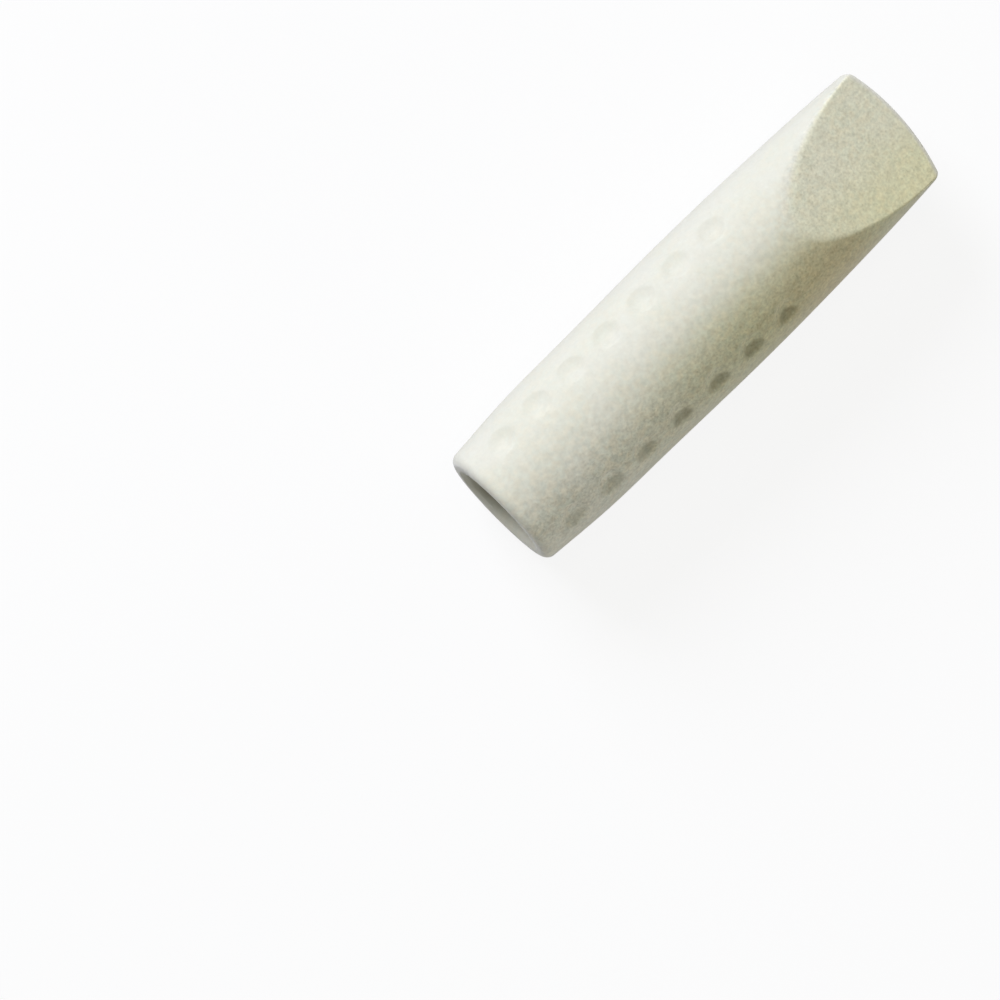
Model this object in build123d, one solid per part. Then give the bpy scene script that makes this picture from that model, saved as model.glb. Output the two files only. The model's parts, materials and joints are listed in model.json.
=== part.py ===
"""A push-on eraser topper, moulded in one piece from synthetic rubber.

The topper lies along X: the mouth of its socket is at x = 0 and the chisel tip points to +X.
The origin is the centre of the mouth. The two chisel facets face up (+Z) and down (-Z).
Lengths are in millimetres and angles in degrees.
"""

import math
import os

from build123d import *

# Overall form
topper_length = 41.0  # mouth plane to the crown of the domed end
belly_radius = 5.69  # outside, at the fattest place
end_crown_radius = 17.0  # sphere that domes the end

# The barrel's side lies lower than its belly by these reliefs, from the mouth to the tip
mouth_relief = 0.67  # at the mouth plane
collar_relief = 0.21  # where the flared collar at the mouth ends
sleeve_relief = 0.15  # where the sleeve starts to swell
heel_relief = 0.17  # where the barrel draws in towards the tip
tip_relief = 0.61  # at the rim of the domed end
collar_length = 6.4
sleeve_from_mouth = 10.5
heel_from_tip = 9.5
mouth_flare = 4.3  # slope of the side to the axis, at the mouth
tip_taper = 4.6  # slope of the side to the axis, at the rim of the domed end

# Chisel tip
tip_land = 2.2  # thickness of the end between the two facets
facet_angle = 21.0  # slope of each facet to the axis

# Socket
socket_radius = 3.6  # stretches to grip a stem of 7 to 8 mm across
solid_tip_length = 15.0  # solid rubber between the socket's floor and the crown
socket_lead_in = 0.3  # chamfer that starts the stem into the socket
socket_floor_round = 0.6

# Edge softening
rim_round = 0.7  # outer edge of the mouth
tip_edge_round = 0.3  # edges of the facets and of the domed end

# Grip dimples, in rows along the barrel
dimple_diameter = 2.3
dimple_depth = 0.38
dimple_pitch = 3.55
dimples_per_row = 7
first_dimple_from_mouth = 3.3
row_angles = (45.0, 135.0, 225.0, 315.0)  # around the axis, from +Y towards +Z

# Cutters reach this far past the surfaces that they cut
overrun = 1.0

# Sizes and places that follow from those above
mouth_radius = belly_radius - mouth_relief
tip_radius = belly_radius - tip_relief
heel_x = topper_length - heel_from_tip
belly_x = (sleeve_from_mouth + heel_x) / 2
end_rim_x = topper_length - end_crown_radius + math.sqrt(end_crown_radius**2 - tip_radius**2)
socket_depth = topper_length - solid_tip_length
mouth_wall = mouth_radius - socket_radius


def barrel_line():
    """The barrel's side seen from +Z: a smooth curve from the rim of the mouth to the rim of the end."""
    flare = math.radians(mouth_flare)
    taper = math.radians(tip_taper)
    return Spline(
        (0, mouth_radius),
        (collar_length, belly_radius - collar_relief),
        (sleeve_from_mouth, belly_radius - sleeve_relief),
        (belly_x, belly_radius),
        (heel_x, belly_radius - heel_relief),
        (end_rim_x, tip_radius),
        tangents=((math.cos(flare), math.sin(flare)), (math.cos(taper), -math.sin(taper))),
    )


def barrel_radius(x):
    """Outside radius of the barrel at a distance x from the mouth."""
    station = Line((x, 0), (x, belly_radius + overrun))
    return barrel_line().find_intersection_points(station)[0].Y


def barrel():
    """The outer form, turned about X: flat mouth, swelling side and domed end."""
    dome_span = math.degrees(math.asin(tip_radius / end_crown_radius))
    dome = CenterArc((topper_length - end_crown_radius, 0), end_crown_radius, 0, dome_span)
    axis_line = Line((topper_length, 0), (0, 0))
    mouth_line = Line((0, 0), (0, mouth_radius))
    return revolve(make_face([barrel_line(), dome, axis_line, mouth_line]), Axis.X)


def chisel_cutter(side):
    """The wedge of space that one facet takes off: above the axis for side 1, below it for side -1."""
    slope = math.tan(math.radians(facet_angle))
    top = belly_radius + overrun
    section = Plane.XZ * Polygon(
        (topper_length - (top - tip_land / 2) / slope, side * top),
        (topper_length + overrun, side * (tip_land / 2 - overrun * slope)),
        (topper_length + overrun, side * top),
        align=None,
    )
    return extrude(section, amount=belly_radius + overrun, both=True)


def socket_cutter():
    """The blind round hole that grips the stem, with a rounded floor and a chamfered mouth."""
    hole = Plane.YZ * Cylinder(socket_radius, socket_depth, align=(Align.CENTER, Align.CENTER, Align.MIN))
    hole = fillet(hole.edges().sort_by(Axis.X)[-1:], socket_floor_round)
    lead_in = min(socket_lead_in, mouth_wall / 3)
    funnel = Plane.YZ * Cone(
        socket_radius + lead_in,
        socket_radius,
        lead_in,
        align=(Align.CENTER, Align.CENTER, Align.MIN),
    )
    return hole + funnel


def dimple_cutters():
    """Balls that press the rows of shallow round dimples into the barrel."""
    ball_radius = ((dimple_diameter / 2) ** 2 + dimple_depth**2) / (2 * dimple_depth)
    balls = []
    for row_angle in row_angles:
        for place in range(dimples_per_row):
            x = first_dimple_from_mouth + place * dimple_pitch
            reach = barrel_radius(x) - dimple_depth + ball_radius
            balls.append(Rotation(row_angle, 0, 0) * Pos(x, reach, 0) * Sphere(ball_radius))
    return balls


def eraser_topper():
    """The whole moulding: barrel, chisel tip, softened edges, socket and grip dimples."""
    body = barrel() - [chisel_cutter(1), chisel_cutter(-1)]
    facets = body.faces().filter_by(GeomType.PLANE).sort_by(Axis.X)[1:]
    facet_edges = [facet.edges().sort_by(Axis.X)[0] for facet in facets]
    dome_edges = body.faces().filter_by(GeomType.SPHERE).edges()
    body = fillet([*facet_edges, *dome_edges], min(tip_edge_round, tip_land / 3))
    body = fillet(body.edges().sort_by(Axis.X)[:1], min(rim_round, mouth_wall / 2))
    return body - [socket_cutter(), *dimple_cutters()]


os.makedirs("parts", exist_ok=True)
export_step(eraser_topper(), "parts/eraser_topper.step")
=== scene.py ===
# %% [markdown]
# # A push-on eraser topper
# The object is a single moulding of pale eraser rubber: a swelling sleeve with a blind round socket, rows of
# shallow grip dimples, and a chisel tip made by two sloping facets and a domed end. The CAD model fixes its
# size and its socket. This script gives it the soft edges, the sandy skin and the light of a studio table.

import json
import math

import bpy
import numpy as np
from mathutils import Matrix, Vector


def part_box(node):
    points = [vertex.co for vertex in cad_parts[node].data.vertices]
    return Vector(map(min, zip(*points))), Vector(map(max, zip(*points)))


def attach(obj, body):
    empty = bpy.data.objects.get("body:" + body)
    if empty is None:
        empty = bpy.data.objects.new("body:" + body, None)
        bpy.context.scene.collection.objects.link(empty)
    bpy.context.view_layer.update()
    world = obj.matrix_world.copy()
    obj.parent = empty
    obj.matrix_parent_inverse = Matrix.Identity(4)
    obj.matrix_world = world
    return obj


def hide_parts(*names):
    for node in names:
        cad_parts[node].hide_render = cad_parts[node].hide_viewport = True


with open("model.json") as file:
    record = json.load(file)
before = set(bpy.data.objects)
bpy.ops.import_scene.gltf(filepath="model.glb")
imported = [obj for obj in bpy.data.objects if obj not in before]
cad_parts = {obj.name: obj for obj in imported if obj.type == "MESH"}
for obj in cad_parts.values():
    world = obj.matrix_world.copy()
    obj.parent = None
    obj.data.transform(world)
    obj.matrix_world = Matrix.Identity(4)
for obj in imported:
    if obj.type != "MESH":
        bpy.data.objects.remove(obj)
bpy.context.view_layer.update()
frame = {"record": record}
METRES_PER_MM = 0.001
NODE = "eraser_topper"
lowest, highest = (np.array(corner) / METRES_PER_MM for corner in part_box(NODE))
print("CAD box in mm:", lowest.round(3), highest.round(3))

# %% [markdown]
# ## The camera
# A product shot of something this small is taken from about half a metre with a long lens, so its sides stay
# nearly parallel. It is easiest to place the camera from what the picture shows: which way the topper's axis
# runs across the frame, how far the mouth leans towards the lens, how far the facet is turned about the axis,
# and where the middle of the mouth falls. Three unit vectors, right, up and back, then make its matrix.

# %% Place the camera
IMAGE_PX = 1000
SENSOR_MM = 36.0
lens_mm = 240.4
camera_distance = 480.0
axis_lean = math.radians(6.2)  # the mouth leans this far towards the lens
facet_turn = math.radians(4.5)  # the upper facet faces this far past the lens, to the lower right
axis_slope = math.radians(44.5)  # the axis rises this steeply across the picture
mouth_pixel = (498.4, 511.0)

back = np.array([
    -math.sin(axis_lean),
    math.cos(axis_lean) * math.sin(facet_turn),
    math.cos(axis_lean) * math.cos(facet_turn),
])
along = np.array([1.0, 0.0, 0.0]) - back[0] * back
along /= np.linalg.norm(along)
across = np.cross(back, along)
right = math.cos(axis_slope) * along - math.sin(axis_slope) * across
up = math.sin(axis_slope) * along + math.cos(axis_slope) * across
mm_per_px = SENSOR_MM / lens_mm * camera_distance / IMAGE_PX
mouth_right = (mouth_pixel[0] - IMAGE_PX / 2) * mm_per_px
mouth_up = (IMAGE_PX / 2 - mouth_pixel[1]) * mm_per_px
camera_place = camera_distance * back - mouth_right * right - mouth_up * up

camera_matrix = np.eye(4)
camera_matrix[:3, :3] = np.column_stack([right, up, back])
camera_matrix[:3, 3] = camera_place * METRES_PER_MM
lens = bpy.data.cameras.new("product_camera")
lens.lens = lens_mm
lens.sensor_width = SENSOR_MM
lens.clip_start = 0.01
camera = bpy.data.objects.new("product_camera", lens)
camera.matrix_world = Matrix(camera_matrix.tolist())
bpy.context.scene.collection.objects.link(camera)
bpy.context.scene.camera = camera
print("camera at mm:", camera_place.round(1), "seeing", round(mm_per_px * IMAGE_PX, 1), "mm across")

# %% [markdown]
# ## The barrel's side
# Seen from above, the side of the barrel flares behind the mouth, runs along a sleeve, swells to a belly and
# draws in towards the tip. A clamped cubic spline through six stations gives that line: it passes through
# every station, its curvature has no jumps, and its slope at both ends is set.

# %% Barrel line
length = highest[0]
spline_swell = 0.004  # the spline rises this far past its middle station
belly_radius = highest[1] - spline_swell
mouth_relief = 0.67  # how far the side lies under the belly, at the mouth
collar_relief = 0.21
sleeve_relief = 0.15
heel_relief = 0.17
tip_relief = 0.61
collar_length = 6.4
sleeve_from_mouth = 10.5
heel_from_tip = 9.5
mouth_flare = math.tan(math.radians(4.3))
tip_taper = -math.tan(math.radians(4.6))
crown_radius = 17.0

tip_radius = belly_radius - tip_relief
end_rim_x = length - crown_radius + math.sqrt(crown_radius**2 - tip_radius**2)
heel_x = length - heel_from_tip
stations = np.array([0, collar_length, sleeve_from_mouth, (sleeve_from_mouth + heel_x) / 2, heel_x, end_rim_x])
reliefs = np.array([mouth_relief, collar_relief, sleeve_relief, 0, heel_relief, tip_relief])


def clamped_slopes(x, y, first, last):
    """Slopes at the stations of a cubic spline: each inner one balances the rises on its two sides, weighted by
    the opposite gaps, so that curvature runs on without a jump, and the two ends are given."""
    gap = np.diff(x)
    rise = np.diff(y) / gap
    inner = np.arange(1, len(x) - 1)
    rule = np.eye(len(x))
    rule[inner, inner - 1] = gap[1:]
    rule[inner, inner] = 2 * (gap[:-1] + gap[1:])
    rule[inner, inner + 1] = gap[:-1]
    balance = np.concatenate([[first], 3 * (gap[1:] * rise[:-1] + gap[:-1] * rise[1:]), [last]])
    return np.linalg.solve(rule, balance)


station_slopes = clamped_slopes(stations, belly_radius - reliefs, mouth_flare, tip_taper)


def side(x):
    """Outside radius at a distance x from the mouth: in each gap a cubic that meets both stations with their
    slopes, from a share t of the gap that runs from 0 to 1."""
    span = np.clip(np.searchsorted(stations, x) - 1, 0, len(stations) - 2)
    gap = np.diff(stations)[span]
    t = (x - stations[span]) / gap
    radii = belly_radius - reliefs
    return (
        (1 + 2 * t) * (1 - t) ** 2 * radii[span]
        + t * (1 - t) ** 2 * gap * station_slopes[span]
        + t**2 * (3 - 2 * t) * radii[span + 1]
        + t**2 * (t - 1) * gap * station_slopes[span + 1]
    )


print("barrel radius every 5 mm:", side(np.arange(0, length, 5.0)).round(2))

# %% [markdown]
# ## The dimples
# Four rows of shallow bowls run along the sleeve, for grip. They repeat evenly, so there is no need for a list:
# rounding a place to the nearest station along the barrel, and to the nearest row around it, gives the distance
# to the nearest bowl. A parabola makes the bowl, and its rim is eased, as moulded rubber is.

# %% Dimple depth
dimple_diameter = 2.3
dimple_depth = 0.38
dimple_rim_softness = 0.05
dimple_pitch = 3.55
dimples_per_row = 7
first_dimple_from_mouth = 3.3
row_gap = math.radians(90)
first_row = math.radians(45)


def nearest_bowl(x, angle):
    """Distances from the middle of the nearest bowl, along the barrel and around it: what is left of x after whole
    pitches, and of the angle after whole row gaps, times the radius."""
    place = np.clip(np.rint((x - first_dimple_from_mouth) / dimple_pitch), 0, dimples_per_row - 1)
    row = np.rint((angle - first_row) / row_gap)
    return x - first_dimple_from_mouth - place * dimple_pitch, side(x) * (angle - first_row - row * row_gap)


def dimples(x, angle):
    """Depth of the nearest bowl: its full depth times 1 minus the square of the distance, which is 1 at the rim. The
    mean of that depth and of its length, lengthened by the softness, eases it to nothing outside."""
    lengthwise, around = nearest_bowl(x, angle)
    bowl = dimple_depth * (1 - (lengthwise**2 + around**2) / (dimple_diameter / 2) ** 2)
    return (bowl + np.hypot(bowl, dimple_rim_softness)) / 2


print("depth in the middle of a bowl:", dimples(np.array(first_dimple_from_mouth), np.array(first_row)).round(3))

# %% [markdown]
# ## The whole outer form as a field
# A field is a number at every point of space: below zero inside the rubber, zero on its skin, above zero outside.
# The barrel, the two facets and the ball that domes the end each have a simple field, and the form that lies
# inside all of them has the largest of the three. Taking the largest in a rounded way softens every edge by a
# known radius, which is how a moulded eraser differs from a sharp drawing.

# %% Field of the outer form
tip_land = 2.2
facet_angle = math.radians(21.0)
facet_wear = 0.2  # rubbed off the facets at the barrel's -Y side, dwindling to nothing at its +Y side
facet_edge_round = 0.10
worn_edge_growth = 0.006  # added on the +Y side by rubbing, times the square of the distance from the tip
end_edge_round = 0.42


def rounded_max(radius, *fields):
    """Largest of the fields, and where two or more come within the radius of zero, the length of the vector of what
    each has past minus the radius, less the radius: a round of that radius between the two skins."""
    past = np.sqrt(sum(np.maximum(field + radius, 0) ** 2 for field in fields))
    return np.minimum(np.maximum.reduce(fields), -radius) + past


def skins(points):
    """Barrel: distance from the axis less the side's radius. Facets: height over a plane that rises from half the
    land at the end, less what is worn off. Dome: distance from the ball's middle, on its tip side only, less its
    radius."""
    x, y, z = np.moveaxis(points, -1, 0)
    barrel = np.hypot(y, z) - side(x) + dimples(x, np.arctan2(z, y))
    worn_off = facet_wear * (belly_radius - y) / (2 * belly_radius)
    land = tip_land / 2 - worn_off
    facets = (np.abs(z) - land) * math.cos(facet_angle) - (length - x) * math.sin(facet_angle)
    past_middle = np.maximum(x - length + crown_radius, 0)
    dome = np.sqrt(past_middle**2 + y**2 + z**2) - crown_radius
    return barrel, facets, dome


def outer_field(points):
    """The three skins joined: facet edges by a round that grows from -Y to +Y and with the square of the distance
    from the tip, then the end's edge by its own round."""
    barrel, facets, dome = skins(points)
    worn = np.clip((points[..., 1] + belly_radius) / (2 * belly_radius), 0, 1) ** 2
    edge_round = facet_edge_round + worn_edge_growth * (length - points[..., 0]) ** 2 * worn
    return rounded_max(end_edge_round, rounded_max(edge_round, barrel, facets), dome)


print("field at the crown:", outer_field(np.array([length, 0.0, 0.0])).round(4))

# %% [markdown]
# ## From the field to a grid of points
# Rays start on the axis and stop where the field reaches zero. Along the sleeve they stand square to the axis.
# Over the tip they fan out from one point of the axis, from square to it down to the crown. Halving the search
# interval a few dozen times finds every stop at once, for the whole array of rays. Each row is then spaced out
# evenly along its own outline, with extra points where it turns, so that the rounded edges get their share.

# %% Rays and even spacing
columns = 224
sleeve_rows = 226
cap_rows = 56
fan_from_tip = 2.0
rim_round = 0.7
search_halvings = 36
outline_samples = 1441
turn_length = 0.5  # a turn of one radian counts as this many more millimetres of outline


def ray_ends(start, direction):
    """Points where rays leave the form: the midpoint of a shrinking interval whose near end is inside the field and
    whose far end is outside it."""
    near = np.zeros(direction.shape[:-1] + (1,))
    far = near + 2 * belly_radius
    for _ in range(search_halvings):
        middle = (near + far) / 2
        inside = outer_field(start + middle * direction)[..., None] < 0
        near = np.where(inside, middle, near)
        far = np.where(inside, far, middle)
    return start + near * direction


def even_parameters(curves, parameter, shares):
    """Parameter values at given shares of each curve's length, a turn counting as length too. The curves are put end
    to end on one number line, so that a single interpolation serves them all."""
    step = np.diff(curves, axis=1)
    reach = np.linalg.norm(step, axis=-1)
    heading = step / reach[..., None]
    turn = np.arccos(np.clip((heading[:, 1:] * heading[:, :-1]).sum(-1), -1, 1))
    weight = reach
    weight[:, 1:] += turn_length * turn / 2
    weight[:, :-1] += turn_length * turn / 2
    run = np.concatenate([np.zeros((len(curves), 1)), np.cumsum(weight, axis=1)], axis=1)
    run /= run[:, -1:]
    offset = 2.0 * np.arange(len(curves))[:, None]
    wanted = shares + offset
    found = np.interp(wanted.ravel(), (run + offset).ravel(), np.tile(parameter, len(curves)))
    return found.reshape(wanted.shape)


def sleeve_points(x, angle):
    """Ray ends square to the axis: start at x on the axis, go out at the angle from +Y towards +Z."""
    start = np.stack([x, 0 * x, 0 * x], axis=-1)
    direction = np.stack([0 * angle, np.cos(angle), np.sin(angle)], axis=-1)
    return ray_ends(start, direction)


fan_x = length - fan_from_tip
row_x = np.linspace(rim_round, fan_x, sleeve_rows)[:, None]
full_turn = np.linspace(0, 2 * math.pi, outline_samples)
outlines = sleeve_points(np.broadcast_to(row_x, (sleeve_rows, outline_samples)), full_turn + 0 * row_x)
column_share = np.arange(columns) / columns
sleeve_angle = even_parameters(outlines, full_turn, column_share)
sleeve = sleeve_points(np.broadcast_to(row_x, sleeve_angle.shape), sleeve_angle)
print("sleeve grid:", sleeve.shape, "widest radius", np.hypot(sleeve[..., 1], sleeve[..., 2]).max().round(3))

# %% The chisel tip as a fan of rays
def fan_points(tilt, angle):
    """Ray ends from one point of the axis: tilt runs from a quarter turn, square to the axis, to 0, along it."""
    start = np.array([fan_x, 0.0, 0.0])
    direction = np.stack([np.cos(tilt), np.sin(tilt) * np.cos(angle), np.sin(tilt) * np.sin(angle)], axis=-1)
    return ray_ends(start, direction)


fan_samples = 401
quarter_turn = np.linspace(math.pi / 2, 0, fan_samples)
tip_angle = sleeve_angle[-1][:, None]
meridians = fan_points(quarter_turn + 0 * tip_angle, tip_angle + 0 * quarter_turn)
cap_share = np.arange(1, cap_rows + 1) / (cap_rows + 1)
cap_tilt = even_parameters(meridians, quarter_turn, cap_share + 0 * tip_angle)
cap = fan_points(cap_tilt, tip_angle + 0 * cap_tilt).swapaxes(0, 1)
crown = fan_points(np.array(0.0), np.array(0.0))
print("tip grid:", cap.shape, "crown at x", crown[0].round(3))

# %% [markdown]
# ## Mouth and socket
# Inside, the form is plain turning work: a rounded rim, a flat lip, a small chamfer, the straight socket wall that
# grips the stem, and a floor with a rounded corner. Its profile is a run of short curves carried round the axis.

# %% Turned profile of the mouth and the socket
socket = next(mount for mount in frame["record"]["mounts"] if mount["kind"] == "bore")
socket_radius = socket["dims"]["r_mm"]
socket_wall = socket["dims"]["length_mm"]
lead_in = 0.3
floor_round = 0.6
socket_depth = lead_in + socket_wall + floor_round
floor_ring = 0.08 * socket_radius  # innermost ring of the floor, round its pole
floor_steps = 8
corner_steps = 8
wall_steps = 48
chamfer_steps = 4
lip_steps = 6
rim_steps = 9


def stretch(start, end, steps):
    """Straight run from start to end, without its last point: a share of the way at each step."""
    share = np.linspace(0, 1, steps, endpoint=False)[:, None]
    return np.array(start) + share * (np.array(end) - np.array(start))


def bend(centre, radius, first, last, steps):
    """Arc about a centre, without its last point: cosine along x and sine along the radius, from first to last."""
    turn = np.radians(np.linspace(first, last, steps, endpoint=False))
    return np.array(centre) + radius * np.stack([np.cos(turn), np.sin(turn)], axis=-1)


lip_radius = side(np.array(rim_round)) - rim_round
profile = np.concatenate([
    stretch((socket_depth, floor_ring), (socket_depth, socket_radius - floor_round), floor_steps),
    bend((socket_depth - floor_round, socket_radius - floor_round), floor_round, 0, 90, corner_steps),
    stretch((socket_depth - floor_round, socket_radius), (lead_in, socket_radius), wall_steps),
    stretch((lead_in, socket_radius), (0, socket_radius + lead_in), chamfer_steps),
    stretch((0, socket_radius + lead_in), (0, lip_radius), lip_steps),
    bend((rim_round, lip_radius), rim_round, 180, 90, rim_steps),
])
round_angle = 2 * math.pi * column_share
inside_rows = np.stack(
    np.broadcast_arrays(
        profile[:, :1],
        profile[:, 1:] * np.cos(round_angle),
        profile[:, 1:] * np.sin(round_angle),
    ),
    axis=-1,
)
floor_middle = np.array([socket_depth, 0.0, 0.0])
print("socket profile:", profile.shape, "depth", round(socket_depth, 2))

# %% [markdown]
# ## One closed mesh
# The three grids share their columns, so they stack into one: socket floor, socket wall, lip, sleeve, tip. Faces
# join each row to the next and wrap round, and a fan of triangles closes each end at a single point.

# %% Build the mesh
def closed_mesh(name, rows, first_pole, last_pole):
    """Mesh of a stack of rings: quads between neighbouring rings, with the column after the last one the first, and
    a triangle from each edge of the end rings to its pole."""
    row_count, column_count = rows.shape[:2]
    points = np.concatenate([rows.reshape(-1, 3), [first_pole, last_pole]])
    index = np.arange(row_count * column_count).reshape(row_count, column_count)
    following = np.roll(index, -1, axis=1)
    quads = np.stack([index[:-1], following[:-1], following[1:], index[1:]], axis=-1).reshape(-1, 4)
    poles = np.full(column_count, len(points) - 2)
    first_fan = np.stack([poles, following[0], index[0]], axis=-1)
    last_fan = np.stack([poles + 1, index[-1], following[-1]], axis=-1)
    corners = np.concatenate([quads.ravel(), first_fan.ravel(), last_fan.ravel()])
    sizes = np.repeat([4, 3], [len(quads), 2 * column_count])
    mesh = bpy.data.meshes.new(name)
    mesh.vertices.add(len(points))
    mesh.vertices.foreach_set("co", (points * METRES_PER_MM).astype(np.float32).ravel())
    mesh.loops.add(len(corners))
    mesh.loops.foreach_set("vertex_index", corners.astype(np.int32))
    mesh.polygons.add(len(sizes))
    mesh.polygons.foreach_set("loop_start", np.concatenate([[0], np.cumsum(sizes)[:-1]]).astype(np.int32))
    mesh.polygons.foreach_set("use_smooth", np.ones(len(sizes), bool))
    mesh.update(calc_edges=True)
    mesh.validate()
    return mesh, points


# %% [markdown]
# ## A mould that sits a little askew
# The tip's end isn't quite square to the barrel: its +Y side reaches about a third of a millimetre further. Soft
# rubber comes out of a mould like that. A shear gives it, since each point only moves along X, by a share of its y.
# The mouth stays square, so the shear grows from there to the tip.

# %% Shear the outside and join the rows
SKEW = math.tan(math.radians(2.0))


def askew(points):
    """The +Y side is drawn towards the tip and the other side towards the mouth: x grows by y times the skew, less
    what the skew would add to the crown, and all of that times the share of the way from the mouth to the tip."""
    share = np.clip(points[..., :1] / length, 0, 1)
    shift = SKEW * points[..., 1:2] - SKEW**2 * crown_radius / 2
    return points + share * shift * np.array([1.0, 0.0, 0.0])


straight = np.concatenate([sleeve, cap])
rows = np.concatenate([inside_rows, askew(straight)])
mesh, points = closed_mesh("eraser_skin", rows, floor_middle, askew(crown))
mesh.calc_loop_triangles()
triangles = np.empty(3 * len(mesh.loop_triangles), np.int32)
mesh.loop_triangles.foreach_get("vertices", triangles)
a, b, c = points[triangles.reshape(-1, 3)].swapaxes(0, 1)
volume = np.einsum("ij,ij->i", a, np.cross(b, c)).sum() / 6
print("eraser_skin:", len(mesh.loop_triangles), "triangles, volume", volume.round(1), "cubic mm")

eraser = bpy.data.objects.new("eraser_skin", mesh)
bpy.context.scene.collection.objects.link(eraser)
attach(eraser, "root")
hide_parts(NODE)

# %% [markdown]
# ## Marks for the shader
# Three things on the skin depend on its shape: dirt and painted shade gather in the bowls, against the wall on their
# -Y side, erasing opens the grain of the facets and of the end, and the edge between those gets a painted pale
# highlight. The field and the bowls' places are known, so each is stored as a number per point, from 0 to 1, which
# the shader can read.

# %% Mark the dirt and painted shade in the bowls, the worked faces and the painted edge highlight
dirt_and_shade_drift = 0.48  # from the bowl's middle towards -Y
dirt_and_shade_reach = 1.3  # along the barrel, each way
dirt_and_shade_breadth = 0.64  # around it, each way
worked_margin = 0.5  # depth under a worked face at which its marks end


def mark(name, outer_values):
    """Store one number per point: 0 in the mouth and socket and at the floor's pole, the given values outside, and the
    mean of their last row at the crown's pole."""
    inner = np.zeros(inside_rows.shape[:2])
    values = np.concatenate([inner.ravel(), outer_values.ravel(), [0.0, outer_values[-1].mean()]])
    mesh.attributes.new(name, "FLOAT", "POINT").data.foreach_set("value", values.astype(np.float32))
    print(name, "marked on", int((values > 0.5).sum()), "points")


barrel, facets, dome = skins(straight)
skin_x, skin_y, skin_z = np.moveaxis(straight, -1, 0)
lengthwise, around = nearest_bowl(skin_x, np.arctan2(skin_z, skin_y))
# The bowls' mark: dirt and painted shade, drawn towards the wall on the -Y side.
drifted = np.sign(skin_z) * around - dirt_and_shade_drift
bowl_dirt = 1 - (lengthwise / dirt_and_shade_reach) ** 2 - (drifted / dirt_and_shade_breadth) ** 2
mark("bowl_dirt", np.clip(bowl_dirt, 0, 1))
mark("worked", np.clip(1 + np.maximum(facets, dome) / worked_margin, 0, 1))
# The end edge's mark: where a painted pale highlight goes.
mark("rubbed", np.clip(1 + np.minimum(np.maximum(barrel, facets), dome) / end_edge_round, 0, 1))

# %% [markdown]
# ## A small language for shader sums
# Node trees are easier to read as sums than as wiring. One class holds a node's output: adding, subtracting or
# multiplying it makes a Math node, and its one method makes any other node from a type, settings and inputs.

# %% Wires between nodes
class Wire:
    """A node's output, for use in sums: an operator with a number, or with another wire, adds a Math node."""

    def __init__(self, socket):
        self.socket = socket

    @staticmethod
    def node(tree, kind, settings, inputs, output=0):
        """Add a node to a tree: first its settings, then a value or a link for each input that is named."""
        node = tree.nodes.new(kind)
        for name, value in settings.items():
            setattr(node, name, value)
        for name, value in inputs.items():
            if isinstance(value, Wire):
                tree.links.new(value.socket, node.inputs[name])
            else:
                node.inputs[name].default_value = value
        return Wire(node.outputs[output])

    def sum_with(self, operation, first, second):
        return Wire.node(self.socket.id_data, "ShaderNodeMath", {"operation": operation}, {0: first, 1: second})

    def __add__(self, other):
        return self.sum_with("ADD", self, other)

    def __sub__(self, other):
        return self.sum_with("SUBTRACT", self, other)

    def __rsub__(self, other):
        return self.sum_with("SUBTRACT", other, self)

    def __mul__(self, other):
        return self.sum_with("MULTIPLY", self, other)

    __radd__ = __add__
    __rmul__ = __mul__


def mixed(factor, first, second, blend="MIX"):
    """Colour that goes from the first to the second, or to their product, as the factor goes from 0 to 1."""
    settings = {"data_type": "RGBA", "blend_type": blend}
    return Wire.node(factor.socket.id_data, "ShaderNodeMix", settings, {0: factor, 6: first, 7: second}, output=2)


def fade(value, low, high):
    """0 below low, 1 above high and a smooth step between, or the other way round if low is the larger."""
    inputs = {"Value": value, "From Min": low, "From Max": high}
    return Wire.node(value.socket.id_data, "ShaderNodeMapRange", {"interpolation_type": "SMOOTHSTEP"}, inputs)


def zone(coordinate, start, end):
    """A fade along one axis of the object, from 0 at the start to 1 at the end, both in millimetres."""
    return fade(coordinate, start * METRES_PER_MM, end * METRES_PER_MM)


# %% [markdown]
# ## The rubber
# Eraser rubber is filled with chalk and fine grit, so it looks like pale stone: dead matte, sandy from close by and
# mottled from a step away. Noise at several sizes gives that. Grit and sand stand up from the skin, so they go
# through a bump as well as into the colour. Blush turns the colour between pinkish and greenish beige, and the
# peaks and pits of one more noise are pale and dark specks.

# %% Colour of the rubber
PINKISH = (0.690, 0.655, 0.520, 1)
GREENISH = (0.650, 0.665, 0.560, 1)
CHALKY = (0.680, 0.670, 0.575, 1)
PALE_SPECK = (0.88, 0.87, 0.76, 1)
DARK_SPECK = (0.34, 0.33, 0.22, 1)
BLUSH_SIZE = 0.55
CLOUD_SIZE = 3.0
CRUMB_SIZE = 0.17
NOISE_ROUGHNESS = 0.6


def rubber_noise(tree, place, size, detail):
    """Noise whose blobs are about this many millimetres across."""
    scale = 1 / (size * METRES_PER_MM)
    inputs = {"Vector": place, "Scale": scale, "Detail": detail, "Roughness": NOISE_ROUGHNESS}
    return Wire.node(tree, "ShaderNodeTexNoise", {}, inputs)


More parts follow.
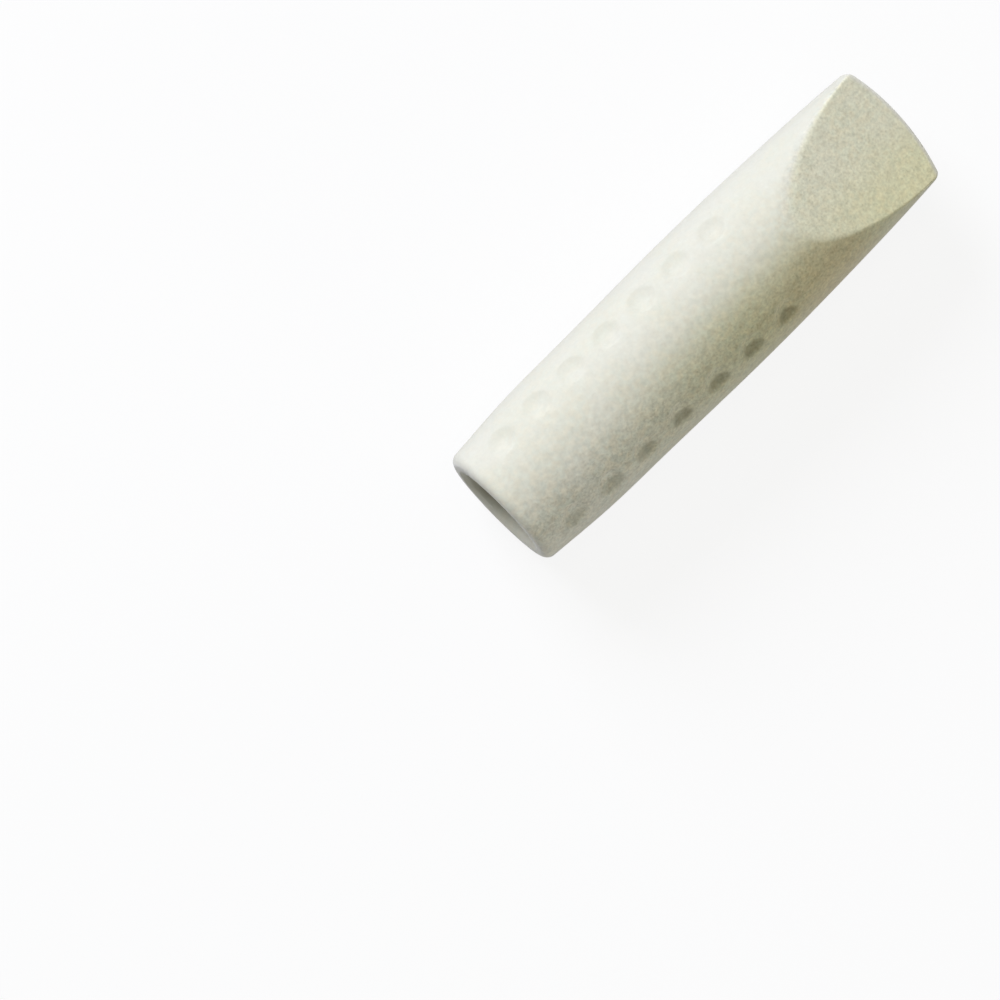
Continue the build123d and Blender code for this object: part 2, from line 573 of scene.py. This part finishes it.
def rubber_colour(tree, place, grain, sandy, gritty):
    """Pinkish and greenish beige mixed by the blush, which is stronger where the skin is sandy, chalky in clouds,
    brighter by the grain, then specks, which show most where the skin is gritty."""
    blush = fade(rubber_noise(tree, place, BLUSH_SIZE, 1.0), 0.3, 0.7) - 0.5
    colour = mixed(0.5 + (0.4 + 0.6 * sandy) * blush, PINKISH, GREENISH)
    clouds = fade(rubber_noise(tree, place, CLOUD_SIZE, 2.0), 0.35, 0.65)
    colour = mixed(0.5 * clouds, colour, CHALKY)
    brighter = {"Vector": colour, "Scale": 1 + grain}
    colour = Wire.node(tree, "ShaderNodeVectorMath", {"operation": "SCALE"}, brighter)
    crumbs = rubber_noise(tree, place, CRUMB_SIZE, 0.0)
    show = 0.05 + 0.70 * gritty * gritty * gritty
    colour = mixed(show * fade(crumbs, 0.62, 0.76), colour, PALE_SPECK)
    return mixed(0.8 * show * fade(crumbs, 0.36, 0.22), colour, DARK_SPECK)


# %% [markdown]
# ## Use and age
# The topper is held by its upper -Y side, so its grit shows there. That side is also painted darker and warmer,
# as painted shade with some handling dirt, and its bowls are darker with dirt and painted shade. A little way
# behind the tip the -Y side is browner. The +Y side, where the key lamp falls, is painted a little greyer and
# cooler, as painted shade. At the mouth the rubber is still pale. Erasing keeps the facets and the end cleaner,
# with a creamy tone that yellows towards their -Y corner, and their edge gets a painted pale highlight. Object
# coordinates place the stains and the painted shade, and the marks follow the shape.

# %% Stains, painted shade and the painted edge highlight
# Painted shade with some handling grime: a warm grey for the upper -Y side.
HELD_SIDE_SHADE_AND_GRIME = (0.81, 0.80, 0.61, 1)
# Painted shade: a cool grey that dims the lit +Y side.
LIT_SIDE_PAINTED_SHADE = (0.95, 0.955, 0.975, 1)
WORKED = (1.0, 0.99, 0.90, 1)
YELLOWED = (1.0, 0.985, 0.84, 1)
BROWNER_BEHIND_TIP = (1.0, 0.92, 0.86, 1)
# Dirt and painted shade in the bowls.
BOWL_SHADE_AND_DIRT = (0.60, 0.59, 0.56, 1)
# Painted highlight: the pale of the end's edge and its share.
EDGE_HIGHLIGHT_PALE = (0.82, 0.81, 0.72, 1)
EDGE_HIGHLIGHT_SHARE = 0.85
BLOTCH_SIZE = 0.6


def marked(tree, name):
    """The number from 0 to 1 that a mark gives each point."""
    return Wire.node(tree, "ShaderNodeAttribute", {"attribute_name": name}, {}, output="Fac")


def aged(tree, place, x, y, colour, held_and_shaded_side):
    """Multiply by a warm grey on the upper -Y side, painted shade with some handling grime, by a cool grey on the +Y
    side, painted shade that dims its light, by cream on the worked faces, by yellow at their -Y corner and by brown on
    the side behind it, then darken the bowls with grime and painted shade and paint a pale highlight on the end's
    edge."""
    worked = fade(marked(tree, "worked"), 0.6, 1.0)
    # Painted shade with some handling grime: the upper -Y side darker and warmer.
    side_shade_and_grime = held_and_shaded_side * zone(y, 2.5, -2.0) * zone(x, 4.0, 24.0) * (1 - 0.8 * worked)
    colour = mixed(side_shade_and_grime, colour, HELD_SIDE_SHADE_AND_GRIME, "MULTIPLY")
    # Painted shade: the lit +Y side greyer and cooler.
    colour = mixed(zone(y, 0.5, 4.5) * (1 - worked), colour, LIT_SIDE_PAINTED_SHADE, "MULTIPLY")
    colour = mixed(worked, colour, WORKED, "MULTIPLY")
    corner = worked * zone(x, 24.0, 38.0) * zone(y, 2.0, -5.0)
    colour = mixed(corner, colour, YELLOWED, "MULTIPLY")
    # Browner a little way behind the tip, on the -Y side, off the worked faces.
    under = zone(x, 20.0, 29.0) * zone(x, 35.0, 30.0) * zone(y, 0.0, -3.8) * (1 - worked)
    colour = mixed(under, colour, BROWNER_BEHIND_TIP, "MULTIPLY")
    # Dirt and painted shade in the bowls, heaviest against their -Y wall.
    uneven = marked(tree, "bowl_dirt") + 0.9 * (rubber_noise(tree, place, BLOTCH_SIZE, 1.0) - 0.5)
    in_bowls = held_and_shaded_side * (0.45 + 0.55 * zone(x, 5.0, 14.0)) * fade(uneven, 0.05, 0.9)
    colour = mixed(in_bowls, colour, BOWL_SHADE_AND_DIRT, "MULTIPLY")
    # Painted highlight: a pale band on the end's rounded edge.
    return mixed(EDGE_HIGHLIGHT_SHARE * marked(tree, "rubbed"), colour, EDGE_HIGHLIGHT_PALE)


# %% Sandy rubber
WORKED_GRAIN = 0.65
SAND_SIZE = 0.5
GRIT_SIZE = 0.22
MEAN_ROUGHNESS = 0.84
RELIEF_MM = 0.04
SPECULAR_LEVEL = 0.35
SHEEN = 0.4


def sandy_rubber():
    """Aged rubber colour with its painted shade and painted edge highlight, and a roughness and a bump that follow the
    sand and the grit. The held side is sandier and grittier than the other, and the worked faces are evenly so."""
    material = bpy.data.materials.new("sandy_rubber")
    material.use_nodes = True
    tree = material.node_tree
    skin = tree.nodes["Principled BSDF"]
    place = Wire.node(tree, "ShaderNodeTexCoord", {}, {}, output="Object")
    x, y, z = (Wire.node(tree, "ShaderNodeSeparateXYZ", {}, {"Vector": place}, output=axis) for axis in "XYZ")
    upper = zone(z, -3.0, 4.5)
    # The upper -Y side: sandier and grittier, and carrying the painted shade in aged().
    held_and_shaded_side = upper * zone(y, 4.5, -3.5)
    sandy, gritty = (
        side_share + marked(tree, "worked") * (WORKED_GRAIN - side_share)
        for side_share in (held_and_shaded_side, 0.8 * upper * zone(y, 0.8, -3.0))
    )
    sand = rubber_noise(tree, place, SAND_SIZE, 1.5) - 0.5
    grit = rubber_noise(tree, place, GRIT_SIZE, 0.8) - 0.5
    grain = (0.08 + 0.50 * sandy) * sand + (0.05 + 0.55 * gritty) * grit
    colour = aged(tree, place, x, y, rubber_colour(tree, place, grain, sandy, gritty), held_and_shaded_side)
    tree.links.new(colour.socket, skin.inputs["Base Color"])
    roughness = MEAN_ROUGHNESS - 0.16 * (sand + grit)
    tree.links.new(roughness.socket, skin.inputs["Roughness"])
    height = 0.4 * sand + (0.2 + 0.4 * gritty) * grit
    inputs = {"Strength": 1.0, "Distance": RELIEF_MM * METRES_PER_MM, "Height": height}
    relief = Wire.node(tree, "ShaderNodeBump", {}, inputs)
    tree.links.new(relief.socket, skin.inputs["Normal"])
    skin.inputs["Specular IOR Level"].default_value = SPECULAR_LEVEL
    skin.inputs["Sheen Weight"].default_value = SHEEN
    return material


eraser.data.materials.append(sandy_rubber())
print("rubber nodes:", len(eraser.data.materials[0].node_tree.nodes))

# %% [markdown]
# ## Floor, light and background
# The table is a white plane that touches the rubber's lowest line. To the camera most of its brightness is a plain
# white glow, and the rest is real light, so the background stays white and the shadow still shows. The glow is only
# for rays that the camera sees, straight or in a reflection, so it puts no light on the rubber. Rays that carry light
# meet a darker table, because a full white one would light the rubber's lower side until its form went flat.
# Four soft lamps light it: a strong cool one on the +Y side, a weak warm one overhead, a low one on the -Y side that
# shows the dimples there, and a faint one before the tip. The room adds a little from everywhere.

# %% White table
FLOOR_SIZE = 4.0
GLOW_SHARE = 0.87
TABLE_WHITE = (0.9, 0.9, 0.9, 1)
TABLE_BOUNCE = (0.5, 0.5, 0.5, 1)


def seen_rays(tree):
    """1 for rays that the camera follows, straight, reflected or through glass, and 0 for rays that carry light."""
    direct, reflected, through = (
        Wire.node(tree, "ShaderNodeLightPath", {}, {}, output=name)
        for name in ("Is Camera Ray", "Is Glossy Ray", "Is Transmission Ray")
    )
    indirect = reflected.sum_with("MAXIMUM", reflected, through)
    return direct.sum_with("MAXIMUM", direct, indirect)


def white_table():
    """A matte white that the camera sees mostly as a plain glow, and that is greyer to rays that carry light."""
    material = bpy.data.materials.new("white_table")
    material.use_nodes = True
    tree = material.node_tree
    tree.nodes.remove(tree.nodes["Principled BSDF"])
    seen = seen_rays(tree)
    shade = mixed(seen, TABLE_BOUNCE, TABLE_WHITE)
    matte = Wire.node(tree, "ShaderNodeBsdfDiffuse", {}, {"Color": shade})
    glow = Wire.node(tree, "ShaderNodeEmission", {}, {"Color": (1, 1, 1, 1), "Strength": 1.0})
    table = Wire.node(tree, "ShaderNodeMixShader", {}, {0: GLOW_SHARE * seen, 1: matte, 2: glow})
    tree.links.new(table.socket, tree.nodes["Material Output"].inputs["Surface"])
    return material


half = FLOOR_SIZE / 2
floor_z = lowest[2] * METRES_PER_MM
corners = [(-half, -half, floor_z), (half, -half, floor_z), (half, half, floor_z), (-half, half, floor_z)]
floor_mesh = bpy.data.meshes.new("studio_floor")
floor_mesh.from_pydata(corners, [], [(0, 1, 2, 3)])
floor_mesh.materials.append(white_table())
floor = bpy.data.objects.new("studio_floor", floor_mesh)
bpy.context.scene.collection.objects.link(floor)
print("table at z mm:", lowest[2].round(3))

# %% The room
ROOM_LIGHT = 0.16
world = bpy.data.worlds.new("studio_room")
world.use_nodes = True
room = world.node_tree
glow = ROOM_LIGHT + (1 - ROOM_LIGHT) * seen_rays(room)
room.links.new(glow.socket, room.nodes["Background"].inputs["Strength"])
room.nodes["Background"].inputs["Color"].default_value = (1, 1, 1, 1)
bpy.context.scene.world = world
print("room light:", ROOM_LIGHT, "of the white that the camera sees")

# %% Lamps
def soft_lamp(name, place, level, size, colour):
    """A round lamp that faces the rubber. A Lambert surface of albedo 1 that faces it straight would show the level:
    the power is the level times pi squared times the square of the distance."""
    lamp = bpy.data.lights.new(name, "AREA")
    lamp.shape = "DISK"
    lamp.size = size
    target = Vector((length / 2 * METRES_PER_MM, 0, 0))
    away = Vector(place) - target
    lamp.energy = level * math.pi**2 * away.length_squared
    lamp.color = colour
    holder = bpy.data.objects.new(name, lamp)
    holder.matrix_world = Matrix.Translation(place) @ away.to_track_quat("Z", "Y").to_matrix().to_4x4()
    bpy.context.scene.collection.objects.link(holder)
    return holder


lamps = [
    soft_lamp("key_lamp", (0.02, 0.665, 0.415), 1.12, 0.45, (0.98, 1.0, 1.13)),
    soft_lamp("top_lamp", (0.02, 0.10, 0.77), 0.16, 0.45, (1, 0.98, 0.70)),
    soft_lamp("side_lamp", (0.02, -0.775, 0.082), 0.31, 0.30, (1, 0.98, 0.97)),
    soft_lamp("tip_lamp", (0.85, 0.0, 0.20), 0.06, 0.4, (1, 0.98, 0.9)),
]
bpy.context.scene.view_settings.view_transform = "Standard"
print("lamps in watts:", [round(lamp.data.energy, 2) for lamp in lamps])

# %% Finish
bpy.context.view_layer.update()
